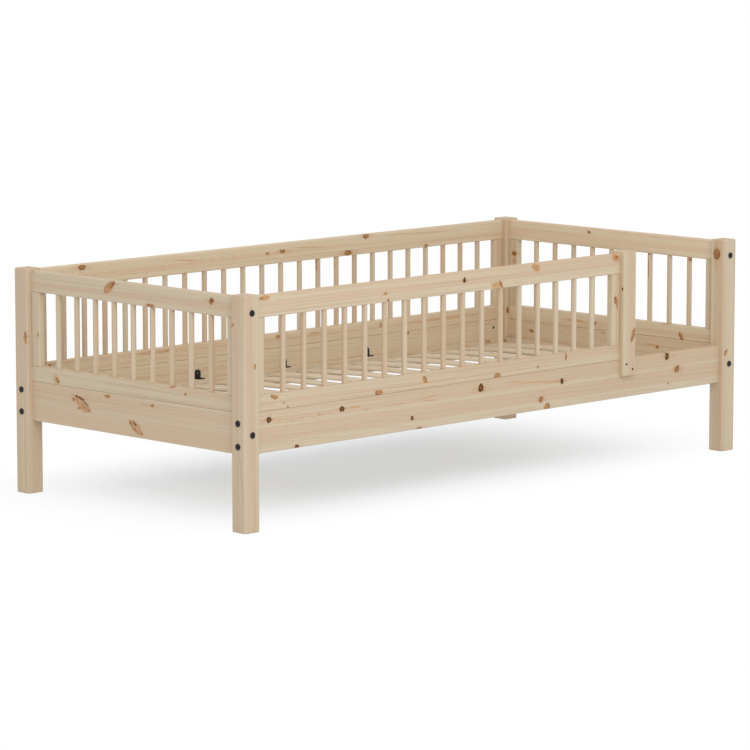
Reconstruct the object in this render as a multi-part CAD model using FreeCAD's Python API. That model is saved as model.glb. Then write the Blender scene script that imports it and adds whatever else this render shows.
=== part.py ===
import FreeCAD, Part
import math
import os

# A child's single bed in solid pine: four posts, bolted rails, spindle guards and crowned slats.
# Sizes are in millimetres. X runs along the bed, -Y is the open front, Z is up, and the
# origin lies on the floor under the middle of the bed.

# Mattress and overall height
mattress_length = 2000.0
mattress_width = 900.0
mattress_play = 2.0
bed_height = 660.0

# Posts
post_side = 56.0
post_edge_radius = 6.0
post_top_radius = 4.0
post_foot_bevel = 2.0

# Rails and boards
board_thickness = 22.0
board_edge_radius = 3.0
rail_floor_gap = 215.0
rail_height = 116.0

# Guards
guard_bottom_rail_height = 46.0
guard_top_rail_height = 62.0
guard_top_edge_radius = 6.0
post_rise = 5.0
stile_width = 34.0
stile_tenon_length = 12.0
stile_tenon_width = 20.0
stile_tenon_thickness = 10.0
stile_tenon_radius = 3.0
spindle_diameter = 16.0
spindle_seat = 15.0
long_spindle_pitch = 79.7
end_spindle_pitch = 81.3
spindle_stile_gap = 50.0
front_guard_length = 1504.0

# Support post at the free end of the front guard
support_fork_drop = 50.0
support_foot_radius = 5.0
support_screw_length = 35.0
support_screw_offset = 13.5
support_screw_upper_drop = 13.0
support_screw_lower_drop = 30.0

# Slats and the bars that carry them
slat_count = 16
slat_width = 60.0
slat_thickness = 7.0
slat_edge_radius = 2.0
slat_crown = 19.0
slat_seat = 12.0
slat_end_drop = 12.0
slat_end_margin = 53.0
bar_width = 28.0
bar_height = 40.0
bar_edge_radius = 2.0
bar_rise = 15.0
bar_end_play = 1.0
bar_screw_length = 40.0

# Angle brackets over the bars
bracket_width = 24.0
bracket_height = 27.0
bracket_foot = 25.0
bracket_sheet = 2.5
bracket_tip_radius = 11.0
bracket_foot_radius = 4.0
bracket_screw_rise = 17.0
bracket_screw_reach = 15.0
bracket_screw_length = 15.0

# Bolts and barrel nuts
bolt_diameter = 6.0
bolt_head_diameter = 18.0
bolt_head_height = 3.0
bolt_head_bevel = 1.0
bolt_socket_diameter = 5.0
bolt_socket_depth = 2.0
bolt_tip_pass = 8.0
side_rail_bolt_spacing = 64.5
top_rail_bolt_rise = 18.0
nut_diameter = 10.0
nut_length = 14.0
nut_inset = 39.0

# Screws and dowels
screw_diameter = 4.0
screw_head_diameter = 7.5
screw_head_height = 1.8
dowel_diameter = 8.0
dowel_length = 36.0
end_board_dowel_drop = 20.0
top_rail_dowel_drop = 16.0

# Clearances, and how far a cutting tool runs past a face
fit_clearance = 0.3
end_clearance = 0.6
cut_overrun = 5.0

# Places along a guard of the dowels under it, along an end bar of its screws, and of slat gaps that
# take a fixing, counted from the middle one
long_seat_shares = (1 / 6, 1 / 2, 5 / 6)
end_seat_shares = (1 / 4, 3 / 4)
end_bar_screw_shares = (1 / 6, 1 / 2, 5 / 6)
bracket_gap_steps = (-3, 0, 3)
bar_screw_gap_steps = (-7, -4, -1, 1, 4, 7)
arc_middle_share = 1 - math.sqrt(1 / 2)

X = FreeCAD.Vector(1, 0, 0)
Y = FreeCAD.Vector(0, 1, 0)
Z = FreeCAD.Vector(0, 0, 1)

bed_length = mattress_length + mattress_play + post_side + board_thickness
bed_width = mattress_width + mattress_play + post_side + board_thickness
post_x = (bed_length - post_side) / 2
post_y = (bed_width - post_side) / 2
inner_x = post_x - post_side / 2
inner_y = post_y - post_side / 2
rail_inner_y = post_y - board_thickness / 2
board_inner_x = post_x - board_thickness / 2
rail_top = rail_floor_gap + rail_height
rail_middle = rail_floor_gap + rail_height / 2
bottom_rail_top = rail_top + guard_bottom_rail_height
top_rail_top = bed_height - post_rise
top_rail_bottom = top_rail_top - guard_top_rail_height
support_x = -inner_x + front_guard_length + post_side / 2
bar_top = rail_floor_gap + bar_rise + bar_height
bar_inner_y = rail_inner_y - bar_width
slat_half_length = bar_inner_y + slat_seat
bolt_length = post_side + nut_inset + bolt_tip_pass

pieces = {}
groups = {}
cuts = {}


def point(x, y, z):
    return FreeCAD.Vector(x, y, z)


def rounded_section(start, across, up, width, height, lower_radius, upper_radius):
    """Oblong face with rounded corners that stands on start and is centred across it."""
    half = width / 2
    low = lower_radius * arc_middle_share
    high = upper_radius * arc_middle_share

    def at(side, rise):
        return start + across * side + up * rise

    corners = (
        (at(half - lower_radius, 0), at(half - low, low), at(half, lower_radius)),
        (at(half, height - upper_radius), at(half - high, height - high), at(half - upper_radius, height)),
        (at(upper_radius - half, height), at(high - half, height - high), at(-half, height - upper_radius)),
        (at(-half, lower_radius), at(low - half, low), at(lower_radius - half, 0)),
    )
    edges = []
    for index, (first, middle, last) in enumerate(corners):
        previous = corners[index - 1][2]
        edges.append(Part.LineSegment(previous, first).toShape())
        edges.append(Part.Arc(first, middle, last).toShape())
    return Part.Face(Part.Wire(edges))


def rounded_bar(start, along, across, up, length, width, height, lower_radius, upper_radius):
    """Straight bar with a rounded oblong section."""
    section = rounded_section(start, across, up, width, height, lower_radius, upper_radius)
    return section.extrude(along * length)


def rod(start, direction, length, diameter):
    return Part.makeCylinder(diameter / 2, length, start, direction)


def cut_from(name, tool):
    cuts.setdefault(name, []).append(tool)


def drill(name, start, direction, depth, diameter):
    """Round hole into a piece, from a point on its face."""
    cut_from(name, rod(start - direction * cut_overrun, direction, depth + cut_overrun, diameter))


def add_dowel(group, first, second, face_point, direction):
    """Wooden dowel, half in each of two pieces that meet at a point."""
    half = dowel_length / 2
    dowel = rod(face_point - direction * half, direction, dowel_length, dowel_diameter)
    groups.setdefault(group, []).append(dowel)
    bore = dowel_diameter + 2 * fit_clearance
    drill(first, face_point, direction * -1, half + end_clearance, bore)
    drill(second, face_point, direction, half + end_clearance, bore)


def bolt_solid():
    """Flat-headed bolt with a hexagon socket, its head on the XY plane and its shank down -Z."""
    radius = bolt_head_diameter / 2
    outline = [
        point(0, 0, -bolt_length),
        point(bolt_diameter / 2, 0, -bolt_length),
        point(bolt_diameter / 2, 0, 0),
        point(radius, 0, 0),
        point(radius, 0, bolt_head_height - bolt_head_bevel),
        point(radius - bolt_head_bevel, 0, bolt_head_height),
        point(0, 0, bolt_head_height),
        point(0, 0, -bolt_length),
    ]
    body = Part.Face(Part.makePolygon(outline)).revolve(point(0, 0, 0), Z, 360)
    reach = X * (bolt_socket_diameter / 2)
    floor = Z * (bolt_head_height - bolt_socket_depth)
    corners = [FreeCAD.Rotation(Z, 60 * index).multVec(reach) + floor for index in range(7)]
    socket = Part.Face(Part.makePolygon(corners)).extrude(Z * (bolt_socket_depth + cut_overrun))
    return body.cut(socket)


def turned(shape, direction, place):
    """Copy of a shape built along +Z, turned so that +Z follows a direction, and moved to a place."""
    copy = shape.copy()
    copy.Placement = FreeCAD.Placement(place, FreeCAD.Rotation(Z, direction))
    return copy


def add_bolt(post, rail, head_point, direction, nut_way, nut_face):
    """Bolt through a post into a rail's end, with a barrel nut let in from one of the rail's faces."""
    groups.setdefault("frame_bolts", []).append(turned(bolt_solid(), direction * -1, head_point))
    bore = bolt_diameter + 2 * fit_clearance
    drill(post, head_point, direction, post_side + cut_overrun, bore)
    rail_end = head_point + direction * post_side
    drill(rail, rail_end, direction, nut_inset + bolt_tip_pass + end_clearance, bore)
    centre = rail_end + direction * nut_inset
    nut = rod(centre - nut_way * (nut_length / 2), nut_way, nut_length, nut_diameter)
    thread = rod(centre - direction * nut_diameter, direction, 2 * nut_diameter, bore)
    groups.setdefault("barrel_nuts", []).append(nut.cut(thread))
    depth = nut_face + nut_length / 2 + fit_clearance
    drill(rail, centre + nut_way * nut_face, nut_way * -1, depth, nut_diameter + 2 * fit_clearance)


def screw_solid(length, clearance=0.0):
    """Countersunk screw, or its hole when a clearance is given, with its head's top on the XY plane."""
    radius = screw_diameter / 2 + clearance
    outline = [
        point(0, 0, clearance),
        point(screw_head_diameter / 2 + clearance, 0, clearance),
        point(radius, 0, -screw_head_height),
        point(radius, 0, screw_diameter - length),
        point(0, 0, -length - clearance),
        point(0, 0, clearance),
    ]
    return Part.Face(Part.makePolygon(outline)).revolve(point(0, 0, 0), Z, 360)


def add_screw(group, names, head_point, direction, length):
    """Countersunk screw through the first piece into the next."""
    groups.setdefault(group, []).append(turned(screw_solid(length), direction * -1, head_point))
    for name in names:
        cut_from(name, turned(screw_solid(length, fit_clearance), direction * -1, head_point))


def post_solid(centre_x, centre_y, bottom):
    """Square post with rounded edges and an eased top."""
    start = point(centre_x, centre_y - post_side / 2, bottom)
    height = bed_height - bottom
    body = rounded_bar(start, Z, X, Y, height, post_side, post_side, post_edge_radius, post_edge_radius)
    top = [edge for edge in body.Edges if edge.BoundBox.ZMin > bed_height - cut_overrun]
    return body.makeFillet(post_top_radius, top)


def lowest_edges(body):
    return [edge for edge in body.Edges if edge.BoundBox.ZMax < body.BoundBox.ZMin + cut_overrun]


def build_posts():
    for x_side, x_name in ((-1, "left"), (1, "right")):
        for y_side, y_name in ((-1, "front"), (1, "back")):
            body = post_solid(x_side * post_x, y_side * post_y, 0)
            pieces["post_%s_%s" % (y_name, x_name)] = body.makeChamfer(post_foot_bevel, lowest_edges(body))


def build_rails():
    """Side rails and end boards between the posts, with the bolts that hold them."""
    for y_side, y_name in ((-1, "front"), (1, "back")):
        name = "side_rail_" + y_name
        start = point(-inner_x, y_side * post_y, rail_floor_gap)
        pieces[name] = rounded_bar(start, X, Y, Z, 2 * inner_x, board_thickness, rail_height,
                                   board_edge_radius, board_edge_radius)
        for x_side, x_name in ((-1, "left"), (1, "right")):
            for step in (-1, 1):
                rise = rail_middle + step * side_rail_bolt_spacing / 2
                head = point(x_side * bed_length / 2, y_side * post_y, rise)
                add_bolt("post_%s_%s" % (y_name, x_name), name, head, X * -x_side, Y * -y_side,
                         board_thickness / 2)
    for x_side, x_name in ((-1, "left"), (1, "right")):
        name = "end_board_" + x_name
        start = point(x_side * post_x, -inner_y, rail_floor_gap)
        pieces[name] = rounded_bar(start, Y, X, Z, 2 * inner_y, board_thickness, rail_height,
                                   board_edge_radius, board_edge_radius)
        for y_side, y_name in ((-1, "front"), (1, "back")):
            post = "post_%s_%s" % (y_name, x_name)
            head = point(x_side * post_x, y_side * bed_width / 2, rail_middle)
            add_bolt(post, name, head, Y * -y_side, X * -x_side, board_thickness / 2)
            seat = point(x_side * post_x, y_side * inner_y, rail_top - end_board_dowel_drop)
            add_dowel("post_dowels", post, name, seat, Y * -y_side)


def pattern(span, pitch, size, margin):
    """Centred places, measured from the middle of a span, of copies that keep a margin at its ends."""
    count = int((span - size - 2 * margin) // pitch) + 1
    return [(index - (count - 1) / 2) * pitch for index in range(count)]


def build_guard(prefix, carrier, start, along, across, length, pitch, stile_names, seat_shares):
    """Guard of two rails, two stiles and a row of spindles, standing on the rail or board that carries it."""
    bottom = prefix + "_bottom_rail"
    top = prefix + "_top_rail"
    seat = start + Z * rail_top
    pieces[bottom] = rounded_bar(seat, along, across, Z, length, board_thickness, guard_bottom_rail_height,
                                 board_edge_radius, board_edge_radius)
    pieces[top] = rounded_bar(start + Z * top_rail_bottom, along, across, Z, length, board_thickness,
                              guard_top_rail_height, board_edge_radius, guard_top_edge_radius)
    for share in seat_shares:
        add_dowel("guard_seat_dowels", carrier, bottom, seat + along * (length * share), Z)

    stile_height = top_rail_bottom - bottom_rail_top
    for offset, stile_name in zip((0, length - stile_width), stile_names):
        place = start + along * offset + Z * bottom_rail_top
        body = rounded_bar(place, Z, across, along, stile_height, board_thickness, stile_width,
                           board_edge_radius, board_edge_radius)
        inset = (stile_width - stile_tenon_width) / 2
        tongue = rounded_bar(place + along * inset - Z * stile_tenon_length, Z, across, along,
                             stile_height + 2 * stile_tenon_length, stile_tenon_thickness, stile_tenon_width,
                             stile_tenon_radius, stile_tenon_radius)
        pieces["%s_stile_%s" % (prefix, stile_name)] = body.fuse(tongue)
        deep = stile_tenon_length + end_clearance
        mortise = rounded_bar(place + along * (inset - fit_clearance) - Z * deep, Z, across, along,
                              stile_height + 2 * deep, stile_tenon_thickness + 2 * fit_clearance,
                              stile_tenon_width + 2 * fit_clearance, stile_tenon_radius, stile_tenon_radius)
        cut_from(bottom, mortise)
        cut_from(top, mortise)

    bore = spindle_diameter + 2 * fit_clearance
    for offset in pattern(length - 2 * stile_width, pitch, spindle_diameter, spindle_stile_gap):
        place = start + along * (length / 2 + offset)
        foot = place + Z * (bottom_rail_top - spindle_seat)
        spindle = rod(foot, Z, stile_height + 2 * spindle_seat, spindle_diameter)
        groups.setdefault(prefix + "_spindles", []).append(spindle)
        drill(bottom, place + Z * bottom_rail_top, Z * -1, spindle_seat + fit_clearance, bore)
        drill(top, place + Z * top_rail_bottom, Z, spindle_seat + fit_clearance, bore)


def dowel_guard_end(prefix, post, face_point, direction):
    """Dowels from a post into the ends of a guard's two rails."""
    bottom_rise = rail_top + guard_bottom_rail_height / 2
    top_rise = top_rail_bottom + guard_top_rail_height / 2
    add_dowel("post_dowels", post, prefix + "_bottom_rail", face_point + Z * bottom_rise, direction)
    add_dowel("post_dowels", post, prefix + "_top_rail", face_point + Z * top_rise, direction)


def build_end_guards():
    for x_side, x_name in ((-1, "left"), (1, "right")):
        prefix = "end_guard_" + x_name
        build_guard(prefix, "end_board_" + x_name, point(x_side * post_x, -inner_y, 0), Y, X, 2 * inner_y,
                    end_spindle_pitch, ("front", "back"), end_seat_shares)
        for y_side, y_name in ((-1, "front"), (1, "back")):
            post = "post_%s_%s" % (y_name, x_name)
            head = point(x_side * post_x, y_side * bed_width / 2, top_rail_bottom + top_rail_bolt_rise)
            add_bolt(post, prefix + "_top_rail", head, Y * -y_side, Z * -1, top_rail_bolt_rise)
            face = point(x_side * post_x, y_side * inner_y, 0)
            add_dowel("post_dowels", post, prefix + "_top_rail",
                      face + Z * (top_rail_top - top_rail_dowel_drop), Y * -y_side)
            add_dowel("post_dowels", post, prefix + "_bottom_rail",
                      face + Z * (rail_top + guard_bottom_rail_height / 2), Y * -y_side)


def build_long_guards():
    build_guard("back_guard", "side_rail_back", point(-inner_x, post_y, 0), X, Y, 2 * inner_x,
                long_spindle_pitch, ("left", "right"), long_seat_shares)
    dowel_guard_end("back_guard", "post_back_left", point(-inner_x, post_y, 0), X)
    dowel_guard_end("back_guard", "post_back_right", point(inner_x, post_y, 0), X * -1)
    build_guard("front_guard", "side_rail_front", point(-inner_x, -post_y, 0), X, Y, front_guard_length,
                long_spindle_pitch, ("left", "right"), long_seat_shares)
    dowel_guard_end("front_guard", "post_front_left", point(-inner_x, -post_y, 0), X)
    dowel_guard_end("front_guard", "support_post", point(support_x - post_side / 2, -post_y, 0), X * -1)


def build_support_post():
    """Post forked over the front side rail, which closes the guard's free end."""
    body = post_solid(support_x, -post_y, rail_top - support_fork_drop)
    body = body.makeFillet(support_foot_radius, lowest_edges(body))
    width = board_thickness + 2 * fit_clearance
    fork = Part.makeBox(post_side + 2 * cut_overrun, width, support_fork_drop + cut_overrun,
                        point(support_x - post_side / 2 - cut_overrun, -post_y - width / 2,
                              rail_top - support_fork_drop - cut_overrun))
    pieces["support_post"] = body.cut(fork)
    for side, drop in ((-1, support_screw_upper_drop), (1, support_screw_lower_drop)):
        head = point(support_x + side * support_screw_offset, -bed_width / 2, rail_top - drop)
        add_screw("support_post_screws", ("support_post", "side_rail_front"), head, Y, support_screw_length)


def bracket_solid():
    """Angle bracket with its bend along X, its tab up +Z against the plane Y=0 and its foot along +Y."""
    half = bracket_width / 2
    outline = [
        point(-half, 0, 0),
        point(-half, bracket_foot, 0),
        point(-half, bracket_foot, bracket_sheet),
        point(-half, bracket_sheet, bracket_sheet),
        point(-half, bracket_sheet, bracket_height),
        point(-half, 0, bracket_height),
        point(-half, 0, 0),
    ]
    body = Part.Face(Part.makePolygon(outline)).extrude(X * bracket_width)
    tab = [edge for edge in body.Edges if edge.BoundBox.ZMin > bracket_height - cut_overrun and
           edge.BoundBox.XLength < bracket_sheet]
    body = body.makeFillet(bracket_tip_radius, tab)
    toe = [edge for edge in body.Edges if edge.BoundBox.YMin > bracket_foot - cut_overrun and
           edge.BoundBox.ZLength > edge.BoundBox.XLength]
    return body.makeFillet(bracket_foot_radius, toe)


def build_slats():
    """Crowned slats in slotted bars, which are screwed and bracketed to the side rails."""
    bar_length = 2 * (inner_x - bar_end_play)
    pitch = (bar_length - slat_width - 2 * slat_end_margin) / (slat_count - 1)
    places = [(index - (slat_count - 1) / 2) * pitch for index in range(slat_count)]
    gaps = [place + pitch / 2 for place in places[:-1]]
    middle = (len(gaps) - 1) // 2

    end_top = bar_top - slat_end_drop
    radius = (slat_half_length ** 2 + slat_crown ** 2) / (2 * slat_crown)
    seat_fall = slat_crown - (radius - math.sqrt(radius ** 2 - bar_inner_y ** 2))
    sweep = math.degrees(math.asin(slat_half_length / radius))
    for index, place in enumerate(places):
        crown_foot = point(place, 0, end_top + slat_crown - slat_thickness)
        section = rounded_section(crown_foot, X, Z, slat_width, slat_thickness,
                                  slat_edge_radius, slat_edge_radius)
        bend_axis = crown_foot + Z * (slat_thickness - radius)
        section.rotate(bend_axis, X, -sweep)
        pieces["slat_%02d" % (index + 1)] = section.revolve(bend_axis, X, 2 * sweep)

    for y_side, y_name in ((-1, "front"), (1, "back")):
        bar = "slat_bar_" + y_name
        rail = "side_rail_" + y_name
        inward = Y * -y_side
        start = point(-bar_length / 2, y_side * (rail_inner_y - bar_width / 2), bar_top - bar_height)
        pieces[bar] = rounded_bar(start, X, Y, Z, bar_length, bar_width, bar_height,
                                  bar_edge_radius, bar_edge_radius)
        slot_deep = slat_seat + end_clearance
        slot_high = slat_thickness + seat_fall + 2 * fit_clearance
        slot_low = end_top - slat_thickness - fit_clearance
        for place in places:
            mouth = point(place, y_side * (bar_inner_y - cut_overrun), slot_low)
            cut_from(bar, rounded_bar(mouth, inward * -1, X, Z, slot_deep + cut_overrun,
                                      slat_width + 2 * fit_clearance, slot_high,
                                      slat_edge_radius, slat_edge_radius))
        for step in bar_screw_gap_steps:
            head = point(gaps[middle + step], y_side * bar_inner_y, bar_top - bar_height / 2)
            add_screw("slat_bar_screws", (bar, rail), head, inward * -1, bar_screw_length)
        for step in bracket_gap_steps:
            corner = point(gaps[middle + step], y_side * rail_inner_y, bar_top)
            bracket = bracket_solid()
            if y_side > 0:
                bracket.rotate(point(0, 0, 0), Z, 180)
            bracket.translate(corner)
            tab = corner + inward * bracket_sheet + Z * bracket_screw_rise
            foot = corner + inward * bracket_screw_reach + Z * bracket_sheet
            for head, way, under in ((tab, inward * -1, rail), (foot, Z * -1, bar)):
                hole = turned(screw_solid(bracket_screw_length, fit_clearance), way * -1, head)
                bracket = bracket.cut(hole)
                add_screw("bracket_screws", (under,), head, way, bracket_screw_length)
            groups.setdefault("slat_brackets", []).append(bracket)


def build_end_bars():
    """Cross bars between the slat bars, which close the slatted base along the end boards."""
    length = 2 * (bar_inner_y - bar_end_play)
    for x_side, x_name in ((-1, "left"), (1, "right")):
        bar = "slat_end_bar_" + x_name
        start = point(x_side * (board_inner_x - bar_width / 2), -length / 2, bar_top - bar_height)
        pieces[bar] = rounded_bar(start, Y, X, Z, length, bar_width, bar_height,
                                  bar_edge_radius, bar_edge_radius)
        screw_line = start + point(-x_side * bar_width / 2, 0, bar_height / 2)
        for share in end_bar_screw_shares:
            head = screw_line + Y * (length * share)
            add_screw("slat_bar_screws", (bar, "end_board_" + x_name), head, X * x_side, bar_screw_length)


def write_parts():
    os.makedirs("parts", exist_ok=True)
    for name, body in pieces.items():
        if name in cuts:
            body = body.cut(cuts[name])
        solids = body.Solids
        if len(solids) != 1 or not solids[0].isValid():
            raise ValueError("%s is not one sound solid" % name)
        solids[0].exportStep("parts/%s.step" % name)
    for name, bodies in groups.items():
        solids = [solid for body in bodies for solid in body.Solids]
        Part.makeCompound(solids).exportStep("parts/%s.step" % name)


build_posts()
build_rails()
build_end_guards()
build_long_guards()
build_support_post()
build_slats()
build_end_bars()
write_parts()
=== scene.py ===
import math
import random
from typing import NamedTuple

import bpy
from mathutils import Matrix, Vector


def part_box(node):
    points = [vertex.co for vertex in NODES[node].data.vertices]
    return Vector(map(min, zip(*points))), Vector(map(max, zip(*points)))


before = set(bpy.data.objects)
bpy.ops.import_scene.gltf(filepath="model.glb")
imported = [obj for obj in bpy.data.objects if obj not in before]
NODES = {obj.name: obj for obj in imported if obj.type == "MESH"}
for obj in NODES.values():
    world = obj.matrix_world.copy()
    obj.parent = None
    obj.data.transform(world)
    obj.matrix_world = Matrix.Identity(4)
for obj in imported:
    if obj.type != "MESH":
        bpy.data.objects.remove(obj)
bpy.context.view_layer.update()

bl_info = {
    "name": "Child's Single Bed",
    "version": (1, 0, 0),
    "blender": (4, 5, 0),
    "location": "View3D > Sidebar > Bed",
    "description": "Gives a pine single bed its wood grain, knots, metal fittings and studio stage",
    "category": "Object",
}

X, Y, Z = 0, 1, 2


class Knot(NamedTuple):
    """A knot: its place along and across the grain, its width across, its shape and its kind.

    Lean turns it about the way through the board, in degrees. Amber knots are sound and stained with
    resin, pale ones are lighter, brown ones are darker, spike knots are cut along their length, ring knots
    have a black rim, pin knots and cracks are dark all over, a line is a stained growth line or a soft
    stain, and a fleck is a stretch of small resin flecks.
    """

    along: float
    across: float
    size: float
    stretch: float = 1.5
    lean: float = 0.0
    kind: str = "amber"


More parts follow.
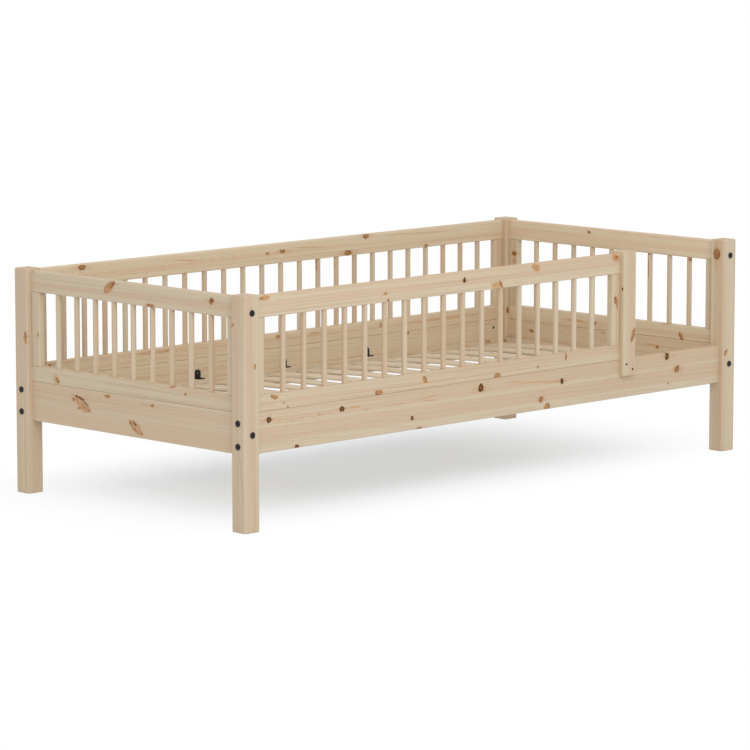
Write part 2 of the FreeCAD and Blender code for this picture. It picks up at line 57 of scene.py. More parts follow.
# Knots that show on the boards' faces, in metres in the bed's frame. Along is the way of the grain,
# and across is the height on a lying board or the sideways place on an upright one. A piece with an
# empty list has no knots, and one that isn't named gets small seeded ones.
BOARD_KNOTS = {
    "side_rail_front": [
        Knot(-0.933, 0.306, 0.0150, 1.3, 0, "ring"),
        Knot(-0.651, 0.306, 0.0145, 1.4, 0, "ring"),
        Knot(-0.085, 0.308, 0.024, 0.9, 0, "ring"),
        Knot(0.739, 0.321, 0.022, 0.8, 15, "ring"),
        Knot(0.264, 0.293, 0.018, 0.75, 0, "pin"),
        Knot(-0.370, 0.250, 0.011, 1.1, 0, "ring"),
        Knot(-0.827, 0.220, 0.012, 1.2, -20, "ring"),
        Knot(0.173, 0.247, 0.020, 0.85, 25, "brown"),
        Knot(0.199, 0.222, 0.025, 1.1),
        Knot(0.786, 0.277, 0.025, 0.85, 30, "brown"),
        Knot(-0.340, 0.216, 0.013, 1.7, 0, "brown"),
        Knot(0.745, 0.238, 0.008, 1.0),
        Knot(0.130, 0.302, 0.006, 45.0, 2.2, "line"),
        Knot(0.060, 0.311, 0.005, 28.0, 2.5, "line"),
        Knot(0.235, 0.294, 0.010, 15.0, 1, "line"),
        Knot(-0.305, 0.304, 0.006, 22.0, -4, "line"),
        Knot(-0.295, 0.293, 0.006, 18.0, 4, "line"),
        Knot(-0.430, 0.296, 0.006, 20.0, 0, "line"),
        Knot(-0.600, 0.307, 0.006, 12.0, 2, "line"),
        Knot(-0.800, 0.299, 0.030, 11.0, 0, "fleck"),
        Knot(-0.580, 0.298, 0.024, 10.0, 0, "fleck"),
        Knot(-0.080, 0.303, 0.030, 5.0, 0, "fleck"),
        Knot(0.250, 0.296, 0.020, 9.0, 0, "fleck"),
        Knot(0.765, 0.322, 0.016, 9.0, 0, "fleck"),
    ],
    "side_rail_back": [
        Knot(0.548, 0.325, 0.008, 1.4),
        Knot(-0.735, 0.300, 0.009, 1.6),
        Knot(0.100, 0.313, 0.005, 75.0, 1, "line"),
    ],
    "front_guard_top_rail": [
        Knot(-0.948, 0.646, 0.018, 3.2, -8, "line"),
        Knot(-0.950, 0.646, 0.015, 3.0, 0, "pale"),
        Knot(-0.960, 0.647, 0.008, 2.0),
        Knot(-0.480, 0.618, 0.009, 1.7),
        Knot(-0.467, 0.598, 0.008, 1.5),
        Knot(-0.155, 0.630, 0.016, 0.7, 0, "pin"),
        Knot(-0.020, 0.603, 0.034, 1.7, 0, "line"),
        Knot(-0.022, 0.608, 0.009, 1.8, 0, "pale"),
        Knot(-0.036, 0.604, 0.026, 0.28, -36, "pale"),
        Knot(-0.002, 0.604, 0.026, 0.28, -31, "brown"),
        Knot(0.147, 0.642, 0.038, 1.1, 30, "line"),
        Knot(0.149, 0.642, 0.022, 1.8, 25, "pale"),
        Knot(0.155, 0.640, 0.012, 1.4, 20, "pale"),
        Knot(0.497, 0.643, 0.036, 1.2, 35, "line"),
        Knot(0.500, 0.643, 0.022, 1.6, 25, "pale"),
        Knot(0.506, 0.644, 0.009, 1.5),
    ],
    "front_guard_bottom_rail": [
        Knot(-0.912, 0.368, 0.013, 2.5, 12),
        Knot(-0.876, 0.347, 0.006, 1.3),
        Knot(-0.861, 0.333, 0.006, 1.8),
        Knot(-0.504, 0.338, 0.016, 1.9),
        Knot(-0.318, 0.356, 0.016, 1.5, 50),
        Knot(-0.015, 0.337, 0.016, 1.8),
        Knot(0.281, 0.366, 0.026, 0.4),
        Knot(0.160, 0.346, 0.006, 2.2),
        Knot(-0.215, 0.346, 0.004, 370.0, 0, "line"),
    ],
    "back_guard_top_rail": [
        Knot(-0.814, 0.645, 0.016, 2.0, 0, "brown"),
        Knot(-0.066, 0.627, 0.010, 1.6),
        Knot(-0.003, 0.629, 0.013, 2.0, 0, "brown"),
        Knot(0.280, 0.602, 0.018, 1.8, 0, "brown"),
        Knot(0.360, 0.648, 0.015, 1.8, 0, "brown"),
        Knot(0.629, 0.598, 0.010, 1.5, 0, "brown"),
        Knot(0.110, 0.633, 0.008, 25.0, 3, "line"),
        Knot(0.600, 0.641, 0.008, 52.0, 1.5, "line"),
        Knot(-0.400, 0.633, 0.007, 28.0, 4, "line"),
    ],
    "back_guard_bottom_rail": [
        Knot(-0.532, 0.367, 0.009, 16.0, 0, "spike"),
        Knot(-0.941, 0.368, 0.008, 1.6),
        Knot(-0.023, 0.366, 0.012, 1.6),
        Knot(0.424, 0.361, 0.018, 0.55),
        Knot(0.700, 0.358, 0.014, 36.0, 0, "line"),
        Knot(0.135, 0.363, 0.012, 6.0, 0, "line"),
    ],
    "end_board_left": [
        Knot(0.212, 0.287, 0.032, 2.2, 30, "spike"),
        Knot(0.210, 0.283, 0.046, 1.8, 30, "line"),
        Knot(0.236, 0.308, 0.005, 3.6, 14, "pin"),
        Knot(0.217, 0.302, 0.005, 4.4, 22, "pin"),
        Knot(0.198, 0.292, 0.004, 4.8, 38, "pin"),
        Knot(0.250, 0.297, 0.011, 1.3),
        Knot(0.226, 0.273, 0.008, 1.6),
        Knot(0.206, 0.281, 0.006, 2.4, 40),
        Knot(0.180, 0.271, 0.008, 1.9),
        Knot(-0.020, 0.244, 0.028, 2.2, 34, "spike"),
        Knot(-0.019, 0.243, 0.040, 1.8, 34, "line"),
        Knot(-0.014, 0.253, 0.006, 3.0, 40, "pin"),
        Knot(0.004, 0.258, 0.006, 2.6, 30),
        Knot(-0.014, 0.238, 0.007, 1.2),
        Knot(-0.045, 0.228, 0.007, 2.0),
        Knot(0.101, 0.322, 0.011, 2.3),
        Knot(-0.089, 0.314, 0.010, 1.7),
        Knot(-0.060, 0.313, 0.007, 8.0, 0, "line"),
    ],
    "end_board_right": [
        Knot(0.334, 0.300, 0.010, 1.7, 0, "brown"),
        Knot(-0.204, 0.299, 0.010, 1.6),
        Knot(-0.204, 0.299, 0.005, 1.4, 0, "brown"),
        Knot(0.025, 0.322, 0.014, 2.4, 0, "line"),
        Knot(-0.180, 0.305, 0.010, 10.0, 0, "line"),
    ],
    "end_guard_left_bottom_rail": [
        Knot(0.325, 0.347, 0.036, 1.5, 42, "line"),
        Knot(0.322, 0.345, 0.011, 2.0, 50),
        Knot(-0.173, 0.375, 0.008, 2.4),
        Knot(-0.228, 0.361, 0.007, 1.2, 0, "brown"),
    ],
    "end_guard_left_top_rail": [
        Knot(0.086, 0.636, 0.034, 1.6, -38, "line"),
        Knot(0.092, 0.634, 0.026, 2.2, -37, "spike"),
        Knot(0.096, 0.631, 0.019, 2.0, -37, "pale"),
        Knot(0.083, 0.640, 0.013, 2.0, -37),
        Knot(0.071, 0.647, 0.010, 1.6, -40, "brown"),
        Knot(-0.338, 0.633, 0.017, 1.4, -45, "brown"),
        Knot(-0.340, 0.634, 0.006, 1.2, -45, "ring"),
        Knot(0.425, 0.652, 0.006, 1.4),
        Knot(-0.088, 0.597, 0.012, 2.4),
        Knot(-0.074, 0.598, 0.009, 1.3, 0, "brown"),
    ],
    "end_guard_right_bottom_rail": [
        Knot(-0.303, 0.343, 0.015, 2.0, 52),
        Knot(-0.241, 0.375, 0.006, 6.0, 0, "spike"),
        Knot(0.057, 0.350, 0.012, 0.5, 0, "brown"),
        Knot(0.145, 0.352, 0.016, 8.0, 0, "line"),
    ],
    "end_guard_right_top_rail": [Knot(0.088, 0.640, 0.011, 1.4, 0, "brown")],
    "end_guard_left_stile_back": [Knot(0.468, 0.405, 0.007, 1.5, 0, "brown")],
    "end_guard_left_stile_front": [Knot(0.574, -0.421, 0.010, 2.2)],
    "end_guard_right_stile_back": [
        Knot(0.547, 0.413, 0.025, 0.55),
        Knot(0.544, 0.413, 0.020, 0.35, 0, "brown"),
        Knot(0.522, 0.414, 0.022, 1.4, 0, "line"),
    ],
    "front_guard_stile_left": [],
    "back_guard_stile_right": [Knot(0.511, 0.941, 0.005, 1.5)],
    "front_guard_stile_right": [
        Knot(0.512, 0.503, 0.017, 1.3),
        Knot(0.520, 0.499, 0.010, 1.2, 0, "brown"),
        Knot(0.494, 0.507, 0.008, 2.2),
    ],
    "slat_bar_back": [
        Knot(0.520, 0.258, 0.008, 1.3),
        Knot(0.889, 0.268, 0.010, 2.4),
        Knot(0.968, 0.263, 0.008, 1.3, 0, "brown"),
    ],
    "back_guard_spindles": [
        Knot(0.574, 0.148, 0.010, 4.5),
        Knot(0.574, 0.226, 0.010, 4.5),
        Knot(0.410, -0.729, 0.006, 1.5),
    ],
    "front_guard_spindles": [Knot(0.500, -0.164, 0.005, 8.0)],
    "end_guard_left_spindles": [Knot(0.460, -0.078, 0.005, 5.0), Knot(0.517, 0.002, 0.004, 1.5)],
    "end_guard_right_spindles": [
        Knot(0.548, -0.160, 0.007, 11.0),
        Knot(0.590, -0.163, 0.009, 1.2),
        Knot(0.587, -0.331, 0.008, 2.0),
    ],
}
# Boards that differ from the rest: how much pinker, or paler below zero, and a lift of painted light. Where a
# board has bands, this is the tone of its lowest one. The lift paints light: boards whose faces look into the
# bed, where its own shade falls, are painted lighter to stand in for light there, and the others stay near 1.
BOARD_TONES_AND_PAINTED_LIGHT = {
    "end_board_right": (0.9, 1.06),
    "end_guard_right_top_rail": (-0.3, 1.15),
    "end_guard_right_bottom_rail": (-0.3, 1.08),
    "back_guard_top_rail": (-0.6, 1.08),
    "back_guard_bottom_rail": (0.3, 1.06),
    "side_rail_back": (0.0, 1.05),
    "side_rail_front": (-1.6, 0.99),
    "end_board_left": (-0.6, 1.02),
    "end_guard_left_bottom_rail": (0.4, 1.00),
    "end_guard_left_top_rail": (-0.6, 1.00),
    "front_guard_top_rail": (-0.9, 1.03),
    "front_guard_bottom_rail": (-1.2, 1.00),
    "post_front_left": (-0.2, 0.97),
}
# Edges of the broad bands that run along a board: the height of each edge, and how the tone changes there.
BOARD_BANDS = {
    "side_rail_front": [(0.240, 3.2), (0.281, -3.0), (0.288, 1.3), (0.314, 1.4)],
    "front_guard_bottom_rail": [(0.346, 2.0)],
    "front_guard_top_rail": [(0.614, 1.3)],
    "end_board_left": [(0.223, 1.4), (0.288, -0.6)],
    "end_guard_left_bottom_rail": [(0.347, -0.9)],
    "end_guard_left_top_rail": [(0.606, 1.1), (0.640, -0.8)],
}
# Knots of the posts, each with the way that it runs through the post.
POST_KNOTS = {
    "post_front_left": [(X, Knot(0.577, -0.444, 0.007, 1.6)), (Y, Knot(0.462, -1.001, 0.010, 1.5)),
                        (X, Knot(0.157, -0.475, 0.004, 32.0, -6, "spike"))],
    "post_front_right": [(X, Knot(0.615, -0.460, 0.028, 1.3, 0, "brown")),
                         (Y, Knot(0.309, 0.997, 0.013, 1.8, 20))],
    "post_back_left": [(X, Knot(0.458, 0.442, 0.013, 3.0))],
    "post_back_right": [(Y, Knot(0.361, 0.993, 0.015, 1.6)), (Y, Knot(0.358, 0.993, 0.008, 1.6, 0, "brown")),
                        (X, Knot(0.515, 0.455, 0.006, 1.6))],
    "support_post": [(Y, Knot(0.405, 0.561, 0.015, 3.2, 22)), (X, Knot(0.548, -0.483, 0.006, 1.3, 0, "pin"))],
}
# Noise drawn out along the grain: its scale along and across it, its detail and its roughness.
GRAINS = {
    "drift": (1.1, 4.0, 2.0, 0.5),
    "ripple": (8.0, 45.0, 1.0, 0.5),
    "band": (0.45, 36.0, 3.0, 0.5),
    "late_patch": (0.7, 60.0, 3.0, 0.6),
    "streak": (0.9, 150.0, 3.0, 0.6),
    "fibre": (14.0, 900.0, 2.0, 0.6),
    "fleck": (38.0, 240.0, 2.0, 0.5),
    "fleck_patch": (0.8, 20.0, 2.0, 0.5),
    "spot": (45.0, 170.0, 2.0, 0.5),
    "blotch": (110.0, 230.0, 2.0, 0.5),
    "heart": (70.0, 70.0, 2.0, 0.5),
    "rim": (160.0, 160.0, 2.0, 0.5),
}
# How far growth rings and the edges of bands wander, and how soft those edges are, in metres.
RING_DRIFT = 0.022
RING_RIPPLE = 0.002
BAND_DRIFT = 0.014
BAND_SOFTNESS = 0.003
# Steepest run of the rings against a board's length, and the rings that a knot pushes aside.
RING_SLOPE = 0.012
RINGS_PUSHED = 2
# Unevenness of the knots' rims: its noise's scale, and how far it moves them in metres.
WOBBLE_SCALE = 95.0
WOBBLE_REACH = 0.013
# Radius of a knot along the way that it runs through the board, in metres, so that it never ends.
ENDLESS = 1000.0
# Limits of what is seeded for each piece: its place in the noise, the pith's turn, the tone of a board
# and of the rods in a row, and the size and stretch of knots that aren't listed.
CUT_RANGE = 40.0
PITH_TURN = (0.5, 1.3)
BOARD_TONE = 0.5
ROD_TONE = 0.7
SEEDED_SIZE = (0.005, 0.012)
SEEDED_STRETCH = (1.2, 2.4)
# How much of its colour each feature lays over the wood, and how much a step of tone moves the bands.
TONE_STEP = 0.12
LATE_SHARE = 0.32
STREAK_SHARE = 0.40
FLECK_SHARE = 0.26
FIBRE_SHARE = 0.14
SPOT_SHARE = 0.55
# Bare wood shines less than the fittings.
WOOD_SPECULAR = 0.2


class KnotLook(NamedTuple):
    """A sound knot's cover, how hollow its middle looks, its least share of brown and its shading."""

    cover: float
    hollow: float
    base: float
    depth: float


# Sound knots, in the order in which they cover each other, and those that stain the wood round them.
KNOT_LOOKS = {
    "pale": KnotLook(0.60, 0.00, 0.00, 0.25),
    "spike": KnotLook(0.65, 0.70, 0.00, 0.60),
    "amber": KnotLook(0.95, 0.00, 0.05, 0.90),
    "brown": KnotLook(1.00, 0.10, 0.55, 0.70),
}
STAINING_KNOTS = ("brown", "ring", "pin")
# Scale of the noise on the fittings and dowels: the coat's grain, its rubbed patches and the beech's flecks.
COAT_GRAIN = 900.0
COAT_PATCH = 140.0
BEECH_GRAIN = 420.0
# Height of the beech's grain, in metres.
BEECH_RELIEF = 0.0001
WHITE = (1.0, 1.0, 1.0, 1.0)
# Half the floor's width and the camera's far limit, in metres, and the sensor's width in millimetres.
FLOOR_REACH = 60.0
VIEW_END = 200.0
SENSOR_WIDTH = 36.0


class WoodSettings(bpy.types.PropertyGroup):
    """Colours and growth of the wood"""

    sapwood: bpy.props.FloatVectorProperty(
        name="Sapwood", description="Pale cream wood from the outside of the tree",
        subtype="COLOR", size=3, min=0, max=1, default=(0.640, 0.525, 0.370))
    heartwood: bpy.props.FloatVectorProperty(
        name="Heartwood", description="Pinker wood near the middle of the tree",
        subtype="COLOR", size=3, min=0, max=1, default=(0.620, 0.466, 0.318))
    growth_line: bpy.props.FloatVectorProperty(
        name="Growth line", description="Late wood that closes each year's growth",
        subtype="COLOR", size=3, min=0, max=1, default=(0.470, 0.300, 0.165))
    amber: bpy.props.FloatVectorProperty(
        name="Amber", description="Resin-stained wood of sound knots and flecks",
        subtype="COLOR", size=3, min=0, max=1, default=(0.525, 0.228, 0.058))
    knot_brown: bpy.props.FloatVectorProperty(
        name="Knot brown", description="Darker side of a sound knot and heart of a ringed one",
        subtype="COLOR", size=3, min=0, max=1, default=(0.222, 0.080, 0.017))
    knot_bark: bpy.props.FloatVectorProperty(
        name="Knot bark", description="Bark in rims, pin knots and cracks",
        subtype="COLOR", size=3, min=0, max=1, default=(0.050, 0.023, 0.004))
    slat_wood: bpy.props.FloatVectorProperty(
        name="Slat wood", description="Pale wood of the slats",
        subtype="COLOR", size=3, min=0, max=1, default=(0.755, 0.632, 0.466))
    slat_shade: bpy.props.FloatVectorProperty(
        name="Slat shade", description="Darker streaks of the slats",
        subtype="COLOR", size=3, min=0, max=1, default=(0.703, 0.565, 0.400))
    beech: bpy.props.FloatVectorProperty(
        name="Beech", description="Plain wood of the dowels",
        subtype="COLOR", size=3, min=0, max=1, default=(0.50, 0.31, 0.18))
    beech_fleck: bpy.props.FloatVectorProperty(
        name="Beech fleck", description="Darker flecks of the dowels",
        subtype="COLOR", size=3, min=0, max=1, default=(0.36, 0.20, 0.11))
    ring_width: bpy.props.FloatProperty(
        name="Growth ring", description="Distance between two growth lines",
        unit="LENGTH", min=0.001, max=0.02, default=0.0058)
    pith_distance: bpy.props.FloatProperty(
        name="Pith distance", description="How far the middle of the tree lies from the middle of a board",
        unit="LENGTH", min=0.01, max=0.3, default=0.120)
    fibre_relief: bpy.props.FloatProperty(
        name="Fibre relief", description="Height of the raised grain",
        unit="LENGTH", min=0, max=0.002, default=0.00025)


class MetalSettings(bpy.types.PropertyGroup):
    """Colours and relief of the fittings"""

    black_coat: bpy.props.FloatVectorProperty(
        name="Black coat", description="Bolts, brackets and the support post's screws",
        subtype="COLOR", size=3, min=0, max=1, default=(0.009, 0.010, 0.012))
    screw_coat: bpy.props.FloatVectorProperty(
        name="Screw coat", description="Screws of the brackets",
        subtype="COLOR", size=3, min=0, max=1, default=(0.075, 0.082, 0.095))
    # Painted shade: the barrel nuts are coloured near black to stand in for the shade in the holes that they
    # sit in.
    dark_plate: bpy.props.FloatVectorProperty(
        name="Nut hole shade", description="Barrel nuts",
        subtype="COLOR", size=3, min=0, max=1, default=(0.020, 0.020, 0.022))
    zinc: bpy.props.FloatVectorProperty(
        name="Zinc", description="Screws of the slat bars",
        subtype="COLOR", size=3, min=0, max=1, default=(0.560, 0.565, 0.560))
    coat_relief: bpy.props.FloatProperty(
        name="Coat relief", description="Height of the coat's fine unevenness",
        unit="LENGTH", min=0, max=0.001, default=0.00006)


class StageSettings(bpy.types.PropertyGroup):
    """Camera, floor and lights"""

    azimuth: bpy.props.FloatProperty(
        name="Azimuth", description="Camera's turn about the bed, from straight in front",
        subtype="ANGLE", default=math.radians(-44.864))
    elevation: bpy.props.FloatProperty(
        name="Elevation", description="Camera's height as an angle",
        subtype="ANGLE", default=math.radians(8.099))
    distance: bpy.props.FloatProperty(
        name="Distance", description="Camera to the point that it looks at",
        unit="LENGTH", default=11.528)
    target: bpy.props.FloatVectorProperty(
        name="Target", description="Point that the camera looks at",
        subtype="TRANSLATION", size=3, default=(-0.3234, -0.2753, 0.350))
    focal_length: bpy.props.FloatProperty(
        name="Focal length", description="Lens on a 36 mm wide sensor, in millimetres", default=190.6)
    floor_colour: bpy.props.FloatVectorProperty(
        name="Floor", description="Pale studio floor",
        subtype="COLOR", size=3, min=0, max=1, default=(0.85, 0.90, 0.96))
    # Painted shadow: the floor is grey only inside this ellipse and fades to white outside it, so its edge
    # paints the edge of the bed's shadow; inside it the real shadow shows, lightened by the glow.
    shadow_reach: bpy.props.FloatVectorProperty(
        name="Shadow reach", description="Half length and half width of the floor's shaded part",
        subtype="TRANSLATION", size=2, default=(1.36, 0.72))
    shadow_shift: bpy.props.FloatProperty(
        name="Shadow shift", description="How far the shaded part lies behind the bed's middle",
        unit="LENGTH", default=0.12)
    shadow_glow: bpy.props.FloatProperty(
        name="Shadow glow", description="Share of white in the middle of the shaded part",
        subtype="FACTOR", min=0, max=1, default=0.31)
    sky_level: bpy.props.FloatProperty(
        name="Sky level", description="Even light from all around", min=0, max=2, default=0.76)
    key_power: bpy.props.FloatProperty(
        name="Key light", description="Large soft lamp in front of the bed",
        unit="POWER", min=0, default=170.0)
    key_place: bpy.props.FloatVectorProperty(
        name="Key place", description="Where the soft lamp hangs",
        subtype="TRANSLATION", size=3, default=(-3.4, -6.0, 4.2))
    key_size: bpy.props.FloatProperty(
        name="Key size", description="Soft lamp's width", unit="LENGTH", min=0.1, default=5.0)
    top_power: bpy.props.FloatProperty(
        name="Top light", description="Wide weak lamp over the bed",
        unit="POWER", min=0, default=16.0)
    top_height: bpy.props.FloatProperty(
        name="Top height", description="Wide lamp's height over the floor", unit="LENGTH", default=5.0)
    top_size: bpy.props.FloatProperty(
        name="Top size", description="Wide lamp's width", unit="LENGTH", min=0.1, default=7.0)


class Socket:
    """A shader output that Python's arithmetic turns into Math nodes."""

    def __init__(self, finish, output):
        self.finish = finish
        self.output = output

    def math(self, operation, *values):
        """A Math node on these values."""
        return self.finish.node("ShaderNodeMath", {"operation": operation}, dict(enumerate(values)))

    def __add__(self, other):
        return self.math("ADD", self, other)

    def __radd__(self, other):
        return self.math("ADD", other, self)

    def __sub__(self, other):
        return self.math("SUBTRACT", self, other)

    def __rsub__(self, other):
        return self.math("SUBTRACT", other, self)

    def __mul__(self, other):
        return self.math("MULTIPLY", self, other)

    def __rmul__(self, other):
        return self.math("MULTIPLY", other, self)

    def __truediv__(self, other):
        return self.math("DIVIDE", self, other)

    def __pow__(self, other):
        return self.math("POWER", self, other)

    def floor(self):
        """Whole part."""
        return self.math("FLOOR", self)

    def fraction(self):
        """Part after the point."""
        return self.math("FRACT", self)

    def least(self, other):
        """Smaller of two values."""
        return self.math("MINIMUM", self, other)

    def most(self, other):
        """Larger of two values."""
        return self.math("MAXIMUM", self, other)

    def step(self, low, high):
        """Smooth rise from 0 at low to 1 at high, or a fall where low is the larger."""
        settings = {"interpolation_type": "SMOOTHSTEP", "clamp": True}
        if low < high:
            return self.finish.node("ShaderNodeMapRange", settings,
                                    {"Value": self, "From Min": low, "From Max": high})
        return 1 - self.step(high, low)


class Finish:
    """The nodes of a material or world, added one at a time."""

    def __init__(self, owner):
        owner.use_nodes = True
        self.owner = owner
        self.tree = owner.node_tree
        self.tree.nodes.clear()

    def node(self, kind, settings=None, sockets=None, output=0):
        """Adds a node: its settings come first, then the values or links of its sockets."""
        made = self.tree.nodes.new(kind)
        for name, value in (settings or {}).items():
            setattr(made, name, value)
        for name, value in (sockets or {}).items():
            if isinstance(value, Socket):
                self.tree.links.new(value.output, made.inputs[name])
            else:
                made.inputs[name].default_value = value
        return Socket(self, made.outputs[output]) if made.outputs else made

    def solid_place(self):
        """Where a point lies in the bed's frame."""
        return self.node("ShaderNodeTexCoord", output="Object")

    def blend(self, factor, first, second):
        """Colour between two colours."""
        return self.node("ShaderNodeMix", {"data_type": "RGBA"}, {0: factor, 6: first, 7: second}, output=2)

    def vector(self, operation, *values, output=0):
        """A Vector Math node on these values."""
        return self.node("ShaderNodeVectorMath", {"operation": operation}, dict(enumerate(values)), output)

    def split(self, vector):
        """The three parts of a vector."""
        parts = self.node("ShaderNodeSeparateXYZ", None, {0: vector}).output.node.outputs
        return [Socket(self, part) for part in parts]

    def noise(self, place, scale, shift=(0, 0, 0), detail=2.0, roughness=0.5):
        """Noise with a scale for each way, or one for all three."""
        scales = (scale,) * 3 if isinstance(scale, float) else scale
        return self.node("ShaderNodeTexNoise", {"noise_dimensions": "3D"},
                         {"Vector": self.vector("MULTIPLY_ADD", place, scales, shift), "Scale": 1.0,
                          "Detail": detail, "Roughness": roughness})

    def surface(self, base_colour, roughness, height, relief, metallic=0.0, specular=0.4):
        """Joins the finish to the material's output and gives the material."""
        bump = self.node("ShaderNodeBump", None, {"Strength": 1.0, "Distance": relief, "Height": height})
        shader = self.node("ShaderNodeBsdfPrincipled", None, {
            "Base Color": base_colour, "Roughness": roughness, "Metallic": metallic,
            "Specular IOR Level": specular, "Normal": bump})
        self.node("ShaderNodeOutputMaterial", None, {"Surface": shader})
        return self.owner


def opaque(rgb):
    """A colour with its alpha of 1."""
    return (*rgb, 1.0)


class Pine(Finish):
    """Sawn pine whose bands, growth lines, fibres and knots run through the solid.

    along is the way of the grain and through the way of the board's thickness. Each knot comes with the way
    that it runs through the piece. Where the node is a row of like rods, row is the first rod's place and
    the pitch, and each rod is cut from a place of its own.
    """

    def __init__(self, name, wood, along, through, knots, row=None):
        super().__init__(bpy.data.materials.new("pine_" + name))
        self.name = name
        self.wood = wood
        self.along = along
        self.place = self.solid_place()
        self.lengths = self.split(self.place)
        across = 3 - along - through
        self.level = self.lengths[across]
        self.grains = {}
        chance = random.Random(name)
        self.cut = tuple(chance.uniform(-CUT_RANGE, CUT_RANGE) for _ in range(3))
        tilt = chance.choice((-1, 1)) * chance.uniform(*PITH_TURN)
        # Painted light: the board's lift from the table makes its wood lighter or darker to stand in for
        # light.
        self.tone, self.lift = BOARD_TONES_AND_PAINTED_LIGHT.get(name, (chance.uniform(-BOARD_TONE, BOARD_TONE), 1.0))
        low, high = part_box(name)
        middle = (low + high) / 2
        inward = self.lengths[through] - (middle[through] + math.cos(tilt) * wood.pith_distance)
        if row:
            first, pitch = row
            rod = ((self.level - first) / pitch + 0.5).floor()
            draw = self.node("ShaderNodeTexWhiteNoise", {"noise_dimensions": "1D"},
                             {"W": rod + chance.randrange(100)}, output="Value")
            sideways = self.level - first - rod * pitch + (draw - 0.5) * wood.pith_distance
            self.tone = (draw * 2 - 1) * ROD_TONE
        else:
            sideways = self.level - (middle[across] + math.sin(tilt) * wood.pith_distance)
        self.by_kind = {}
        for way, knot in knots:
            self.by_kind.setdefault(knot.kind, []).append((way, knot))
        self.uneven = self.uneven_place()
        self.fields = {}
        for kind in (*KNOT_LOOKS, "ring", "pin"):
            if kind in self.by_kind:
                self.fields[kind] = self.field(self.uneven, self.by_kind[kind])
        self.late = self.late_wood(sideways, inward, chance.uniform(-RING_SLOPE, RING_SLOPE))

    def grain(self, name):
        """One of the noises along the grain, made when it is first asked for."""
        if name not in self.grains:
            lengthways, crossways, detail, roughness = GRAINS[name]
            scales = [crossways] * 3
            scales[self.along] = lengthways
            self.grains[name] = self.noise(self.place, scales, self.cut, detail, roughness)
        return self.grains[name]

    def uneven_place(self):
        """Place moved a little to and fro, which makes the knots' rims uneven."""
        wobble = self.node("ShaderNodeTexNoise", {"noise_dimensions": "3D"},
                           {"Vector": self.place, "Scale": WOBBLE_SCALE, "Detail": 4.0, "Roughness": 0.6},
                           output="Color")
        moved = self.vector("MULTIPLY_ADD", wobble, (WOBBLE_REACH,) * 3, (-WOBBLE_REACH / 2,) * 3)
        return self.vector("ADD", self.place, moved)

    def field(self, place, knots, longer=1.0, wider=1.0, aside=0.0):
        """Distance from the nearest knot, in knot radii: 1 at its rim.

        longer and wider draw every knot out along the grain, and then it doesn't lean. aside moves it by
        that share of its radii, each knot its own way.
        """
        nearest = None
        for through, knot in knots:
            across = 3 - self.along - through
            radii = [ENDLESS] * 3
            radii[self.along] = knot.size * knot.stretch * longer / 2
            radii[across] = knot.size * wider / 2
            heading = random.Random(repr(knot)).uniform(0, math.tau)
            centre = [0.0] * 3
            centre[self.along] = knot.along + aside * radii[self.along] * math.cos(heading)
            centre[across] = knot.across + aside * radii[across] * math.sin(heading)
            turn = [0.0] * 3
            if longer == 1.0:
                turn[through] = math.radians(knot.lean)
            local = self.node("ShaderNodeMapping", {"vector_type": "TEXTURE"},
                              {"Vector": place, "Location": centre, "Rotation": turn, "Scale": radii})
            distance = self.vector("LENGTH", local, output="Value")
            nearest = distance if nearest is None else nearest.least(distance)
        return nearest

    def late_wood(self, sideways, inward, slope):
        """Dark late wood of the growth rings round the pith, which knots push aside."""
        radius = (sideways * sideways + inward * inward) ** 0.5 + self.lengths[self.along] * slope
        radius = radius + (self.grain("drift") - 0.5) * RING_DRIFT
        radius = radius + (self.grain("ripple") - 0.5) * RING_RIPPLE
        for field in self.fields.values():
            radius = radius + field.step(3.2, 0.4) * (self.wood.ring_width * RINGS_PUSHED)
        phase = (radius / self.wood.ring_width).fraction()
        return phase.step(0.35, 0.92) * phase.step(1.0, 0.93)

    def clear_wood(self, woods):
        """Colour of wood without knots: bands of two woods under late wood, streaks, flecks and fibres."""
        tone = self.tone
        if self.name in BOARD_BANDS:
            level = self.level + (self.grain("drift") - 0.5) * BAND_DRIFT
            for edge, change in BOARD_BANDS[self.name]:
                tone = level.step(edge - BAND_SOFTNESS, edge + BAND_SOFTNESS) * change + tone
        # Painted light: both woods are scaled by the board's lift.
        first, second = [opaque([part * self.lift for part in wood]) for wood in woods]
        growth_line = opaque(self.wood.growth_line)
        bands = (self.grain("band") + tone * TONE_STEP).step(0.42, 0.58)
        late = self.late * self.grain("late_patch").step(0.3, 0.75)
        flecks = self.grain("fleck").step(0.58, 0.70) * self.grain("fleck_patch").step(0.52, 0.66)
        colour = self.blend(bands, first, second)
        colour = self.blend(late * LATE_SHARE, colour, growth_line)
        colour = self.blend(self.grain("streak").step(0.54, 0.75) * STREAK_SHARE, colour, growth_line)
        colour = self.blend(flecks * FLECK_SHARE, colour, opaque(self.wood.amber))
        return self.blend(self.grain("fibre").step(0.55, 0.9) * FIBRE_SHARE, colour, growth_line)

    def stained(self, colour):
        """Adds the stained growth lines, the stretches of resin flecks and the stains round dark knots."""
        amber = opaque(self.wood.amber)
        streak = self.grain("streak")
        if "line" in self.by_kind:
            line = self.field(self.place, self.by_kind["line"]).step(1.0, 0.2)
            colour = self.blend(line * (streak.step(0.3, 0.6) * 0.35 + 0.22), colour, amber)
        if "fleck" in self.by_kind:
            stretch = self.field(self.place, self.by_kind["fleck"]).step(1.0, 0.4)
            colour = self.blend(self.grain("spot").step(0.54, 0.66) * stretch * SPOT_SHARE, colour, amber)
        staining = []
        for kind in STAINING_KNOTS:
            staining += self.by_kind.get(kind, [])
        if staining:
            stain = self.field(self.uneven, staining, longer=4.0, wider=1.5).step(1.0, 0.15)
            colour = self.blend(stain * (streak.step(0.40, 0.58) * 0.4 + 0.1), colour, amber)
        return colour

